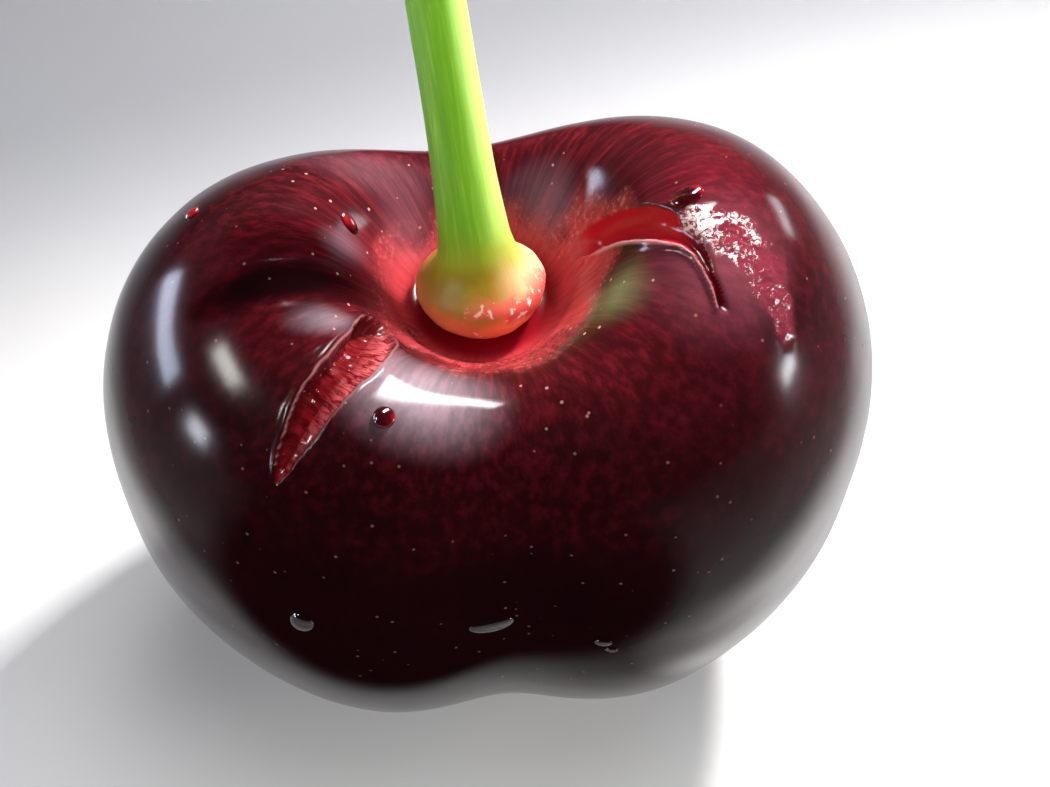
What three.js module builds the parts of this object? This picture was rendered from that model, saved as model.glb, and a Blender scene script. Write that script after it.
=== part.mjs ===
// One fresh sweet cherry, picked with its stem, standing on the small flat spot of its base.
// The fruit is a single body: two full cheeks, a wide stem cavity between them, a suture dent
// in front, a broader dent behind, and two healed rain cracks in the skin beside the cavity.
// The stem is the second body, and its round foot sits on the floor of the cavity.
// Millimetres, Z up. The origin is the centre of the flat spot under the fruit.
import * as THREE from 'three';
import { mergeVertices } from 'three/addons/utils/BufferGeometryUtils.js';

// Overall form of the fruit, measured from the level where it is widest
const HALF_WIDTH = 13.86;
const HALF_THICKNESS = 10.53;
const CROWN_RISE = 10.83;
const BASE_DROP = 12.31;
const CROWN_FULLNESS = 2.84;
const BASE_FULLNESS = 2.12;
const CROWN_OFFSET_X = 0.215;
const CROWN_OFFSET_Y = -0.19;
const REST_HEIGHT = 12.1;

// Outline seen from above: a slightly skewed oval with a dent in front and one behind
const SKEW = 0.03;
const SKEW_ANGLE = degrees(81.9);
const SUTURE_DEPTH = 0.167;
const SUTURE_ANGLE = degrees(-85.9);
const SUTURE_SPREAD = degrees(15.5);
const BACK_DENT_DEPTH = 0.351;
const BACK_DENT_ANGLE = degrees(95.9);
const BACK_DENT_SPREAD = degrees(39.4);
const BACK_DENT_BELOW = 0.4;
const BACK_DENT_FADE_FROM = -6;
const BACK_DENT_FADE_TO = 4;

// Cheeks: the rim of the cavity swells up to the left and right, more on the right
const RIM_RADIUS = 7.6;
const RIM_SPREAD = 5.2;
const CHEEK_RISE = 2.05;
const CHEEK_ANGLE = degrees(2.8);
const RIM_TILT = 0.93;
const RIM_TILT_ANGLE = degrees(-29);
const RIM_START_RADIUS = 0.8;
const RIM_FULL_RADIUS = 5.2;

// Stem cavity, with a level floor that carries the foot of the stem
const CAVITY_DEPTH = 4.5;
const CAVITY_RADIUS = 4.1;
const CAVITY_SHARPNESS = 2.6;
const FLOOR_LEVEL = 7.25;
const FLOOR_RADIUS = 1.9;
const FLOOR_BLEND_RADIUS = 3.2;

// Rain cracks: grooves along a line on the skin, each widening and running out again
const FRONT_CRACK = {
    line: [[-3.1, -2.5, 21.3], [-3.5, -4.2, 22.55], [-4.65, -5.7, 22.4], [-6.2, -7.7, 20.5]],
    halfWidth: 0.85,
    fullestAt: 0.35,
    depth: 0.75
};
const RIM_CRACK = {
    line: [[2.75, 1.15, 20.5], [3.8, 0.5, 22.15], [4.75, -0.3, 23.75], [5.7, -1.2, 24.65],
        [6.4, -2.0, 24.75], [7.3, -3.9, 23.9]],
    halfWidth: 0.85,
    fullestAt: 0.45,
    depth: 0.55
};

// Facets of the fruit: finer round the cavity and where the cracks run
const FRUIT_COLUMNS = 84;
const FRUIT_ROWS = 62;
const CRACK_COLUMNS = [
    { angle: degrees(-121), spread: degrees(14), gain: 2.4 },
    { angle: degrees(-6), spread: degrees(32), gain: 1.3 }
];
const TOP_ROW_GAIN = 3;
const TOP_ROWS_ABOVE = 6.5;

// Corners closer together than this are one corner, and short steps along the skin for its slope
const MERGE_DISTANCE = 1e-4;
const SLOPE_STEP = 0.002;

// Stem: a foot like a thick button, a hollow neck, a slender shaft and a swollen far end
const STEM_LENGTH = 42;
const STEM_GAP = 0.1;
const STEM_PROFILE = [
    [0, 0], [1.5, 0], [1.92, 0.22], [2.15, 0.65], [2.09, 1.02], [1.7, 1.4], [1.4, 1.78],
    [1.2, 2.5], [1.12, 3.3], [1.04, 4.4], [0.98, 6.0], [0.93, 8.5], [0.89, 14], [0.87, 22],
    [0.86, 30], [0.9, 36], [1.0, 39.2], [1.24, 41.0], [1.28, 41.6], [1.05, 42], [0, 41.8]
];
const STEM_SIDES = 28;
const STEM_LEAN_BACK = degrees(27);
const STEM_LEAN_LEFT = degrees(9.6);
const STEM_TIP_LEAN_BACK = degrees(17);
const STEM_TIP_LEAN_LEFT = degrees(7);
const STEM_UPRIGHT_START = 1.1;
const STEM_RIB_COUNT = 3;
const STEM_RIB_HEIGHT = 0.035;
const STEM_RIB_START = 3;
const STEM_RIB_FULL = 8;

function degrees(angle) {
    return THREE.MathUtils.degToRad(angle);
}

// 1 at the centre, falling away to nothing a few spreads out
function bump(offset, spread) {
    return Math.exp(-((offset / spread) ** 2));
}

function angleBetween(a, b) {
    return THREE.MathUtils.euclideanModulo(a - b + Math.PI, 2 * Math.PI) - Math.PI;
}

// How far the outline seen from above stands out at one longitude, as a share of the plain oval
function outlineShare(longitude, share, level) {
    const fade = THREE.MathUtils.smoothstep(level, BACK_DENT_FADE_FROM, BACK_DENT_FADE_TO);
    const backDepth = BACK_DENT_DEPTH * THREE.MathUtils.lerp(BACK_DENT_BELOW, 1, fade);
    const suture = SUTURE_DEPTH * bump(angleBetween(longitude, SUTURE_ANGLE), SUTURE_SPREAD);
    const back = backDepth * bump(angleBetween(longitude, BACK_DENT_ANGLE), BACK_DENT_SPREAD);
    return 1 + SKEW * Math.cos(2 * (longitude - SKEW_ANGLE)) - (suture + back) * share;
}

// Height added by the swollen rim and taken away by the cavity, for the upper half only
function crownHeight(plain, radius, longitude) {
    const rim = bump(radius - RIM_RADIUS, RIM_SPREAD)
        * THREE.MathUtils.smoothstep(radius, RIM_START_RADIUS, RIM_FULL_RADIUS);
    const cheek = CHEEK_RISE * Math.cos(longitude - CHEEK_ANGLE) ** 2;
    const tilt = RIM_TILT * Math.cos(longitude - RIM_TILT_ANGLE);
    const cavity = CAVITY_DEPTH * Math.exp(-((radius / CAVITY_RADIUS) ** CAVITY_SHARPNESS));
    const open = plain + rim * (cheek + tilt) - cavity;
    const wall = THREE.MathUtils.smoothstep(radius, FLOOR_RADIUS, FLOOR_BLEND_RADIUS);
    return THREE.MathUtils.lerp(FLOOR_LEVEL, open, wall);
}

// A point of the uncracked skin: fall runs from 0 at the crown to PI at the base
function skinPoint(fall, longitude) {
    const upper = fall < Math.PI / 2;
    const fullness = upper ? CROWN_FULLNESS : BASE_FULLNESS;
    const height = upper ? CROWN_RISE : -BASE_DROP;
    const share = Math.abs(Math.sin(fall)) ** (2 / fullness);
    const level = height * Math.abs(Math.cos(fall)) ** (2 / fullness);
    const outline = outlineShare(longitude, share, level);
    const x = share * (HALF_WIDTH * Math.cos(longitude) * outline + CROWN_OFFSET_X);
    const y = share * (HALF_THICKNESS * Math.sin(longitude) * outline + CROWN_OFFSET_Y);
    const z = upper ? crownHeight(level, Math.hypot(x, y), longitude) : level;
    return new THREE.Vector3(x, y, z + REST_HEIGHT);
}

// The outward direction of the skin, from two short steps along it
function skinNormal(fall, longitude) {
    const down = skinPoint(fall + SLOPE_STEP, longitude).sub(skinPoint(fall - SLOPE_STEP, longitude));
    const round = skinPoint(fall, longitude + SLOPE_STEP).sub(skinPoint(fall, longitude - SLOPE_STEP));
    return down.cross(round).normalize();
}

// Points along a crack, each with how far along the crack it lies
function crackTrack(crack) {
    const curve = new THREE.CatmullRomCurve3(crack.line.map((point) => new THREE.Vector3(...point)));
    const count = 60;
    return curve.getSpacedPoints(count).map((point, index) => ({ point, along: index / count }));
}

// Depth of a crack at a point: a soft-edged groove, deepest along its track
function crackDepth(crack, track, position) {
    let nearest = track[0];
    for (const candidate of track) {
        if (candidate.point.distanceTo(position) < nearest.point.distanceTo(position)) {
            nearest = candidate;
        }
    }
    const { along } = nearest;
    const rise = along < crack.fullestAt ? along / crack.fullestAt : (1 - along) / (1 - crack.fullestAt);
    const fullness = Math.sqrt(rise);
    if (fullness === 0) {
        return 0;
    }
    const across = nearest.point.distanceTo(position) / (crack.halfWidth * fullness);
    return crack.depth * fullness * (1 - THREE.MathUtils.smoothstep(across, 0, 1));
}

// Angles from one end of a range to the other, closer together where the weight is larger
function spreadAngles(count, from, to, weightAt) {
    const samples = 2000;
    const totals = [0];
    for (let index = 0; index < samples; index++) {
        const angle = THREE.MathUtils.lerp(from, to, (index + 0.5) / samples);
        totals.push(totals[index] + weightAt(angle));
    }
    const angles = [];
    let reached = 0;
    for (let index = 0; index <= count; index++) {
        const wanted = totals[samples] * index / count;
        while (reached < samples && totals[reached + 1] < wanted) {
            reached++;
        }
        angles.push(THREE.MathUtils.lerp(from, to, Math.min(reached + 1, samples) / samples));
    }
    angles[0] = from;
    return angles;
}

function columnWeight(longitude) {
    return CRACK_COLUMNS.reduce(
        (sum, { angle, spread, gain }) => sum + gain * bump(angleBetween(longitude, angle), spread), 1);
}

function rowWeight(fall) {
    const here = skinPoint(fall, 0);
    const travel = skinPoint(Math.min(fall + SLOPE_STEP, Math.PI), 0).distanceTo(here);
    return travel * (here.z - REST_HEIGHT > TOP_ROWS_ABOVE ? TOP_ROW_GAIN : 1);
}

// A sphere's net of faces, with every corner put where pointAt says
function closedNet(columns, rows, pointAt) {
    const geometry = new THREE.SphereGeometry(1, columns, rows);
    const positions = geometry.attributes.position;
    for (let index = 0; index < positions.count; index++) {
        const column = index % (columns + 1);
        const row = Math.floor(index / (columns + 1));
        const { x, y, z } = pointAt(column % columns, row);
        positions.setXYZ(index, x, y, z);
    }
    geometry.deleteAttribute('normal');
    geometry.deleteAttribute('uv');
    const merged = mergeVertices(geometry, MERGE_DISTANCE);
    merged.computeVertexNormals();
    return merged;
}

function fruitGeometry() {
    const falls = spreadAngles(FRUIT_ROWS, 0, Math.PI, rowWeight);
    const longitudes = spreadAngles(FRUIT_COLUMNS, 0, 2 * Math.PI, columnWeight);
    const cracks = [FRONT_CRACK, RIM_CRACK].map((crack) => ({ crack, track: crackTrack(crack) }));
    return closedNet(FRUIT_COLUMNS, FRUIT_ROWS, (column, row) => {
        const fall = falls[row];
        const point = skinPoint(fall, longitudes[column]);
        if (row > 0 && fall < Math.PI / 2) {
            const depths = cracks.map(({ crack, track }) => crackDepth(crack, track, point));
            point.addScaledVector(skinNormal(fall, longitudes[column]), -(depths[0] + depths[1]));
        }
        point.z = Math.max(point.z, 0);
        return point;
    });
}

// Direction of the stem for a lean to the back and to the left
function leaning(back, left) {
    return new THREE.Vector3(-Math.tan(left), Math.tan(back), 1).normalize();
}

// The stem's centre line rises straight out of its foot, leans over and straightens a little
function stemCentreLine() {
    const foot = new THREE.Vector3(0, 0, REST_HEIGHT + FLOOR_LEVEL + STEM_GAP);
    const turn = foot.clone().add(new THREE.Vector3(0, 0, STEM_UPRIGHT_START));
    const lean = leaning(STEM_LEAN_BACK, STEM_LEAN_LEFT);
    const tipLean = leaning(STEM_TIP_LEAN_BACK, STEM_TIP_LEAN_LEFT);
    const neck = turn.clone().addScaledVector(lean, STEM_UPRIGHT_START);
    const half = STEM_LENGTH / 2 - STEM_UPRIGHT_START;
    const middle = neck.clone().addScaledVector(lean, half);
    const tip = middle.clone().addScaledVector(tipLean, half);
    const path = new THREE.CurvePath();
    path.add(new THREE.QuadraticBezierCurve3(foot, turn, neck));
    path.add(new THREE.QuadraticBezierCurve3(neck, middle, tip));
    return path;
}

// The stem is turned round its own axis first and then bent along the centre line
function stemGeometry() {
    const outline = STEM_PROFILE.map(([radius, height]) => new THREE.Vector2(radius, height));
    const geometry = new THREE.LatheGeometry(outline, STEM_SIDES);
    geometry.deleteAttribute('normal');
    geometry.deleteAttribute('uv');
    const path = stemCentreLine();
    const positions = geometry.attributes.position;
    for (let index = 0; index < positions.count; index++) {
        const turned = new THREE.Vector3().fromBufferAttribute(positions, index);
        const share = turned.y / STEM_LENGTH;
        const centre = path.getPointAt(share);
        const along = path.getTangentAt(share);
        const right = new THREE.Vector3(0, 1, 0).cross(along).normalize();
        const back = along.clone().cross(right);
        const ribbed = THREE.MathUtils.smoothstep(turned.y, STEM_RIB_START, STEM_RIB_FULL);
        const angle = Math.atan2(turned.x, turned.z);
        const rib = 1 + STEM_RIB_HEIGHT * ribbed * Math.cos(STEM_RIB_COUNT * angle);
        centre.addScaledVector(right, turned.x * rib);
        centre.addScaledVector(back, -turned.z * rib);
        positions.setXYZ(index, centre.x, centre.y, centre.z);
    }
    const merged = mergeVertices(geometry, MERGE_DISTANCE);
    merged.computeVertexNormals();
    return merged;
}

function fruit() {
    const skin = new THREE.MeshStandardMaterial({ color: 0x3a0a14, roughness: 0.18, metalness: 0 });
    const mesh = new THREE.Mesh(fruitGeometry(), skin);
    mesh.name = 'fruit';
    return mesh;
}

function stem() {
    const rind = new THREE.MeshStandardMaterial({ color: 0x6f9a35, roughness: 0.45, metalness: 0 });
    const mesh = new THREE.Mesh(stemGeometry(), rind);
    mesh.name = 'stem';
    return mesh;
}

const cherry = new THREE.Group();
cherry.add(fruit(), stem());

export default cherry;
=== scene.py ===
import math
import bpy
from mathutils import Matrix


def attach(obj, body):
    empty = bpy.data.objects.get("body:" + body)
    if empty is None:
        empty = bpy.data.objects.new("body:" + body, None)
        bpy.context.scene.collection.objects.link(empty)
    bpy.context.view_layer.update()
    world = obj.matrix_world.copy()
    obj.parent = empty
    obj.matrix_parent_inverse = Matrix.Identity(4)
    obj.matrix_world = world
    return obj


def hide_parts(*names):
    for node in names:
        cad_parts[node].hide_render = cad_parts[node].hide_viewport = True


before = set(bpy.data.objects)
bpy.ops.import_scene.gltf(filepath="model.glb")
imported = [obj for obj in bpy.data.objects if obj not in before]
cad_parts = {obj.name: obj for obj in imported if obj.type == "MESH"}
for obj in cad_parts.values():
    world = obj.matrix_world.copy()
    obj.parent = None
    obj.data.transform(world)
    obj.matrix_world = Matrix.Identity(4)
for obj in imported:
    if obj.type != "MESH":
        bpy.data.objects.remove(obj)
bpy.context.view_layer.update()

from types import SimpleNamespace

import bmesh
import bpy
import numpy as np
from mathutils import Matrix, Vector, noise

# The view: a close-up from 58 degrees above the horizontal, straight at the suture side, with the
# lens only 62 mm from the middle of the fruit, which is why the near parts look larger.
MM = 0.001
REST_HEIGHT = 12.1
FRUIT_MIDDLE = Vector((0, 0, REST_HEIGHT)) * MM
VIEW_ELEVATION = math.radians(58)
VIEW_WAY = Vector((0, -math.cos(VIEW_ELEVATION), math.sin(VIEW_ELEVATION)))
VIEW_DISTANCE = 62 * MM
VIEW_FOCUS_PX = 1689.5
PHOTO_WIDTH_PX, PHOTO_HEIGHT_PX = 1050, 787
STEM_AXIS_PX = (481.0, 415.0)
SENSOR_WIDTH = 36

camera = bpy.data.objects.new("camera", bpy.data.cameras.new("camera"))
bpy.context.scene.collection.objects.link(camera)
bpy.context.scene.camera = camera
camera.data.sensor_fit = "HORIZONTAL"
camera.data.sensor_width = SENSOR_WIDTH
camera.data.lens = SENSOR_WIDTH * VIEW_FOCUS_PX / PHOTO_WIDTH_PX
camera.data.shift_x = (PHOTO_WIDTH_PX / 2 - STEM_AXIS_PX[0]) / PHOTO_WIDTH_PX
camera.data.shift_y = (STEM_AXIS_PX[1] - PHOTO_HEIGHT_PX / 2) / PHOTO_WIDTH_PX
camera.data.clip_start = 1 * MM
camera.location = FRUIT_MIDDLE + VIEW_DISTANCE * VIEW_WAY
camera.rotation_euler = (math.pi / 2 - VIEW_ELEVATION, 0, 0)


# The fruit: one ripe dark cherry, skin and flesh in one piece, with two cheeks, a suture dent in
# front and a broad dent behind. It starts as a globe whose corners are moved onto the cherry's
# form. All sizes are in millimetres; levels count from the fruit's widest level, REST_HEIGHT.
HALF_WIDTH, HALF_THICKNESS = 13.86, 10.53
CROWN_RISE, CROWN_FULLNESS = 10.83, 2.84
BASE_DROP, BASE_FULLNESS = 12.31, 2.12
CROWN_OFFSET = (0.215, -0.19)
SKEW, SKEW_ANGLE = 0.03, math.radians(81.9)
SUTURE_DEPTH, SUTURE_ANGLE, SUTURE_SPREAD = 0.167, math.radians(-85.9), math.radians(15.5)
BACK_DEPTH, BACK_ANGLE, BACK_SPREAD = 0.351, math.radians(95.9), math.radians(39.4)
BACK_BELOW, BACK_FADE_FROM, BACK_FADE_TO = 0.4, -6, 4
RIM_RADIUS, RIM_SPREAD, RIM_START, RIM_FULL = 7.6, 5.2, 0.8, 5.2
CHEEK_RISE, CHEEK_ANGLE = 2.05, math.radians(2.8)
RIM_TILT, RIM_TILT_ANGLE = 0.93, math.radians(-29)
DIP_FULL_LEVEL = 4
CAVITY_DEPTH, CAVITY_RADIUS, CAVITY_SHARPNESS = 4.5, 4.1, 2.6
FLOOR_LEVEL, FLOOR_RADIUS, FLOOR_BLEND = 7.25, 1.9, 3.2


def bump(offset, spread):
    return np.exp(-((offset / spread) ** 2))


def smoothstep(value, low, high):
    share = np.clip((value - low) / (high - low), 0, 1)
    return share * share * (3 - 2 * share)


def angle_between(a, b):
    return (a - b + math.pi) % (2 * math.pi) - math.pi


def skin_points(fall, longitude):
    """The smooth skin, with fall from 0 at the crown to pi at the base."""
    upper = fall < math.pi / 2
    fullness = np.where(upper, CROWN_FULLNESS, BASE_FULLNESS)
    share = np.abs(np.sin(fall)) ** (2 / fullness)
    level = np.where(upper, CROWN_RISE, -BASE_DROP) * np.abs(np.cos(fall)) ** (2 / fullness)
    fade = smoothstep(level, BACK_FADE_FROM, BACK_FADE_TO)
    suture = SUTURE_DEPTH * bump(angle_between(longitude, SUTURE_ANGLE), SUTURE_SPREAD)
    back = BACK_DEPTH * (BACK_BELOW + (1 - BACK_BELOW) * fade)
    back = back * bump(angle_between(longitude, BACK_ANGLE), BACK_SPREAD)
    outline = 1 + SKEW * np.cos(2 * (longitude - SKEW_ANGLE)) - (suture + back) * share
    x = share * (HALF_WIDTH * np.cos(longitude) * outline + CROWN_OFFSET[0])
    y = share * (HALF_THICKNESS * np.sin(longitude) * outline + CROWN_OFFSET[1])
    radius = np.hypot(x, y)
    rim = bump(radius - RIM_RADIUS, RIM_SPREAD) * smoothstep(radius, RIM_START, RIM_FULL)
    swell = CHEEK_RISE * np.cos(longitude - CHEEK_ANGLE) ** 2
    swell = swell + RIM_TILT * np.cos(longitude - RIM_TILT_ANGLE)
    swell = np.where(swell < 0, swell * smoothstep(level, 0, DIP_FULL_LEVEL), swell)
    cavity = CAVITY_DEPTH * np.exp(-((radius / CAVITY_RADIUS) ** CAVITY_SHARPNESS))
    wall = smoothstep(radius, FLOOR_RADIUS, FLOOR_BLEND)
    crown = FLOOR_LEVEL + (level + rim * swell - cavity - FLOOR_LEVEL) * wall
    return np.stack([x, y, np.where(upper, crown, level) + REST_HEIGHT], -1)


def skin_normals(fall, longitude, step=0.002):
    down = skin_points(fall + step, longitude) - skin_points(fall - step, longitude)
    around = skin_points(fall, longitude + step) - skin_points(fall, longitude - step)
    normal = np.cross(down, around)
    return normal / np.maximum(np.linalg.norm(normal, axis=-1, keepdims=True), 1e-12)


# The globe's columns stand closer together at the cracks, and its rows on the crown. A fine column
# stretch is given by its angle and spread in degrees and by how many times as many it adds.
FRUIT_COLUMNS, FRUIT_ROWS = 392, 244
FINE_COLUMNS = ((-121, 15, 2.4), (-8, 34, 1.4))
FINE_ROWS_LEVEL, FINE_ROWS_WEIGHT = 6.5, 3


def spread_angles(count, start, end, weight_at, samples=4001):
    """Angles from start to end, closer together where the weight is larger."""
    angles = np.linspace(start, end, samples)
    middles = (angles[1:] + angles[:-1]) / 2
    totals = np.concatenate([[0], np.cumsum(weight_at(middles))])
    return np.interp(np.linspace(0, totals[-1], count + 1), totals, angles)


def column_weight(longitude):
    weight = 1
    for angle, spread, added in FINE_COLUMNS:
        weight = weight + added * bump(angle_between(longitude, math.radians(angle)), math.radians(spread))
    return weight


def row_weight(fall, step=0.0005):
    here = skin_points(fall, 0 * fall)
    travel = np.linalg.norm(skin_points(fall + step, 0 * fall) - here, axis=-1)
    return travel * np.where(here[:, 2] - REST_HEIGHT > FINE_ROWS_LEVEL, FINE_ROWS_WEIGHT, 1)


# Two rain cracks run along these lines on the skin. The front one is a split, leaf-shaped wound,
# the other a smooth valley that ends in a torn and wrinkled patch. A wall or a ridge along a crack
# has its place in half widths from the middle. A ridge is given by place, spread and height, a
# wave by its radians over the whole length, and raggedness by a noise's scale and offset.
CRACK_REACH = 2
FRONT_CRACK = ((-3.1, -2.5, 21.3), (-3.5, -4.2, 22.55), (-4.65, -5.7, 22.4), (-6.2, -7.7, 20.5))
FRONT_CRACK_HALF_WIDTH, FRONT_CRACK_DEPTH, FRONT_CRACK_LENGTH = 0.66, 0.8, 6.6
FRONT_CRACK_OPENING, FRONT_CRACK_TAPER, FRONT_CRACK_POINT = 0.1, 3.2, 0.7
FRONT_CRACK_WALL, FRONT_CRACK_SLOPE, FRONT_CRACK_SHALLOW = (0.86, 1.06), (-0.9, 0.75), 0.45
FRONT_CRACK_RAGGED, FRONT_CRACK_OPEN_WIDTH, NO_WIDTH = (1.6, 7), 0.1, 1e-4
FRONT_LIPS = ((-1.3, 0.3, 0.06), (1.3, 0.3, 0.05))
# The pale edges colour the lips pale, partly the torn skin's own pale edge and partly a painted sheen along
# them.
FRONT_PALE_SHEEN_EDGES = ((-1.12, 0.1, 0.7), (1.1, 0.12, 0.6))
FLESH_FIBRE_HEIGHT, FLESH_FIBRE_WAVE, FLESH_UNEVEN = 0.05, 95, 0.12
RIM_CRACK = ((2.75, 1.15, 20.5), (3.8, 0.5, 22.15), (4.75, -0.3, 23.75), (5.7, -1.2, 24.65),
             (6.4, -2.0, 24.75), (7.3, -3.9, 23.9))
RIM_CRACK_HALF_WIDTH, RIM_CRACK_DEPTH, RIM_CRACK_NARROWING = 0.62, 0.5, 0.72
RIM_CRACK_WALL, RIM_CRACK_FULLNESS, RIM_CRACK_RAGGED = (0.8, 1.15), 0.8, (1.1, 3)
RIM_LIPS = ((-1.15, 0.3, 0.12),)
RIM_PALE_SHEEN_EDGES = ((-1.12, 0.2, 1), (1.15, 0.15, 0.3))
TORN_PATCH = ((5.7, -0.75, 24.7), (6.9, -1.25, 24.9), (8.1, -2.0, 24.3), (9.0, -3.2, 23.2),
              (9.2, -4.2, 22.2))
TORN_HALF_WIDTH, TORN_LENGTH, TORN_NARROWING, TORN_EDGE = 0.85, 5.9, 0.55, (0.6, 1.1)
TORN_HEIGHT, TORN_FOLD_HEIGHT, TORN_FOLD_WAVE, TORN_UNEVEN = 0.04, 0.03, 74, 0.05
TORN_RAGGED = (2.2, 11)


def smooth_line(points, count=120, steps=30):
    """Evenly spaced points of a curve that passes through all the given ones."""
    points = np.array(points, float)
    ends = np.vstack([2 * points[0] - points[1], points, 2 * points[-1] - points[-2]])
    pieces = []
    for a, b, c, d in zip(ends, ends[1:], ends[2:], ends[3:]):
        t = np.linspace(0, 1, steps, endpoint=False)[:, None]
        pieces.append(0.5 * (2 * b + (c - a) * t + (2 * a - 5 * b + 4 * c - d) * t ** 2
                             + (3 * b - a - 3 * c + d) * t ** 3))
    line = np.vstack([*pieces, points[-1:]])
    travelled = travel_along(line)
    return at_travel(np.linspace(0, travelled[-1], count), travelled, line)


def travel_along(line):
    return np.concatenate([[0], np.cumsum(np.linalg.norm(np.diff(line, axis=0), axis=1))])


def at_travel(wanted, travelled, values):
    """The values of a line, such as its points, at the wanted distances along it."""
    return np.stack([np.interp(wanted, travelled, values[:, axis]) for axis in range(3)], -1)


def along_and_across(line, points, normals):
    """How far along a line each point lies, from 0 to 1, and its signed distance to the side."""
    distance = np.full(len(points), np.inf)
    along = np.zeros(len(points))
    across = np.zeros(len(points))
    tangents = np.gradient(line, axis=0)
    steps = np.linalg.norm(tangents, axis=1, keepdims=True)
    tangents /= steps
    for index, (place, tangent, step) in enumerate(zip(line, tangents, steps[:, 0])):
        offset = points - place
        ahead = offset @ tangent
        reach = np.linalg.norm(offset - ahead[:, None] * tangent, axis=1)
        nearer = np.hypot(reach, ahead) < distance
        distance[nearer] = np.hypot(reach, ahead)[nearer]
        along[nearer] = (index + np.clip(ahead / step, -0.5, 0.5))[nearer] / (len(line) - 1)
        side = np.einsum("ij,ij->i", np.cross(normals, tangent), offset)
        across[nearer] = np.where(side > 0, distance, -distance)[nearer]
    return np.clip(along, 0, 1), across


def rough(points, scale, octaves=3, offset=0.0):
    """Fractal noise, the same on each run, about -1 to 1, with features of 1 / scale millimetres."""
    shift = Vector((offset, offset, offset))
    return np.array([noise.fractal(Vector(p) * scale + shift, 1.0, 2.0, octaves) for p in points])


def crack_frame(line, points, normals, scale, offset):
    """Where points lie on a crack, which of them are near it, and how ragged each of those is."""
    along, across = along_and_across(smooth_line(line), points, normals)
    near = np.abs(across) < CRACK_REACH
    ragged = np.zeros(len(points))
    ragged[near] = rough(points[near], scale, offset=offset)
    return along, across, near, ragged


def ridges(share, rows):
    return sum(height * bump(share - place, spread) for place, spread, height in rows)


def front_crack_relief(points, normals):
    """Depth of the leaf-shaped wound, its raised lips, and how much bare flesh shows."""
    along, across, near, ragged = crack_frame(FRONT_CRACK, points, normals, *FRONT_CRACK_RAGGED)
    leaf = np.sqrt(np.clip(along / FRONT_CRACK_OPENING, 0, 1))
    leaf = leaf * np.clip(1 - along ** FRONT_CRACK_TAPER, 0, 1) ** FRONT_CRACK_POINT
    width = np.maximum(FRONT_CRACK_HALF_WIDTH * leaf, NO_WIDTH)
    share = (across + 0.1 * ragged * width) / width
    inside = 1 - smoothstep(np.abs(share), *FRONT_CRACK_WALL)
    slope = FRONT_CRACK_SHALLOW + (1 - FRONT_CRACK_SHALLOW) * smoothstep(-share, *FRONT_CRACK_SLOPE)
    fibres = FLESH_FIBRE_HEIGHT * np.sin(along * FLESH_FIBRE_WAVE + 4 * ragged)
    fibres = fibres * np.clip(1 - np.abs(share), 0, 1)
    depth = FRONT_CRACK_DEPTH * np.sqrt(width / FRONT_CRACK_HALF_WIDTH)
    depth = depth * inside * (slope + fibres + FLESH_UNEVEN * ragged)
    open_part = (width > FRONT_CRACK_OPEN_WIDTH) * near
    lips = open_part * ridges(share, FRONT_LIPS)
    edges = open_part * ridges(share, FRONT_PALE_SHEEN_EDGES)
    way = np.stack([along * FRONT_CRACK_LENGTH, across, share], -1)
    return depth - lips, inside * near, edges, way


def rim_crack_relief(points, normals):
    """Depth of the smooth valley with its one raised lip, and how much bare flesh shows."""
    along, across, near, ragged = crack_frame(RIM_CRACK, points, normals, *RIM_CRACK_RAGGED)
    width = RIM_CRACK_HALF_WIDTH * smoothstep(along, -0.25, 0.25)
    width = width * (1 - RIM_CRACK_NARROWING * smoothstep(along, 0.5, 0.86))
    share = (across + 0.06 * ragged) / width
    ends = smoothstep(along, 0.0, 0.16) * (1 - smoothstep(along, 0.95, 1.0)) * near
    valley = ends * np.clip(1 - share ** 2, 0, 1) ** RIM_CRACK_FULLNESS
    inside = ends * (1 - smoothstep(np.abs(share), *RIM_CRACK_WALL))
    edges = ends * smoothstep(along, 0.1, 0.3) * ridges(share, RIM_PALE_SHEEN_EDGES)
    depth = RIM_CRACK_DEPTH * valley * np.sqrt(width / RIM_CRACK_HALF_WIDTH)
    return depth - ends * ridges(share, RIM_LIPS), inside, edges


def torn_relief(points, normals):
    """The wet wrinkled skin beyond the valley, and how strongly each point belongs to it."""
    along, across, near, ragged = crack_frame(TORN_PATCH, points, normals, *TORN_RAGGED)
    width = TORN_HALF_WIDTH * (1 - TORN_NARROWING * (1 - smoothstep(along, 0, 0.35)))
    width = width * (1 - TORN_NARROWING * smoothstep(along, 0.55, 1))
    share = (across + 0.25 * ragged * width) / width
    ends = smoothstep(along, 0, 0.08) * (1 - smoothstep(along, 0.85, 1))
    weight = (1 - smoothstep(np.abs(share), *TORN_EDGE)) * ends
    folds = TORN_FOLD_HEIGHT * np.sin(along * TORN_FOLD_WAVE + 9 * ragged) + TORN_UNEVEN * ragged
    way = np.stack([along * TORN_LENGTH, across, share], -1)
    return weight * (TORN_HEIGHT + folds), weight, way


# The skin is drawn in a little and slightly uneven, and the crest in front of the cavity is
# fuller on its left. Heights above the table say where the cracked crown and the crest begin.
DRAWN_IN, UNEVENNESS, UNEVEN_SCALE, UNEVEN_FADE_IN = 0.03, 0.02, 0.33, (3, 6)
CREST_PAD, CREST_PAD_SPREAD, CREST_PAD_HEIGHT = (-3.0, -6.9), (2.6, 1.5), 0.22
CREST_PAD_ABOVE, CRACKS_ABOVE = 15, 18
LOWEST = 0.004
POLE_GAP, POLE_GAP_FOR_NORMALS = 1e-6, 0.02


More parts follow.
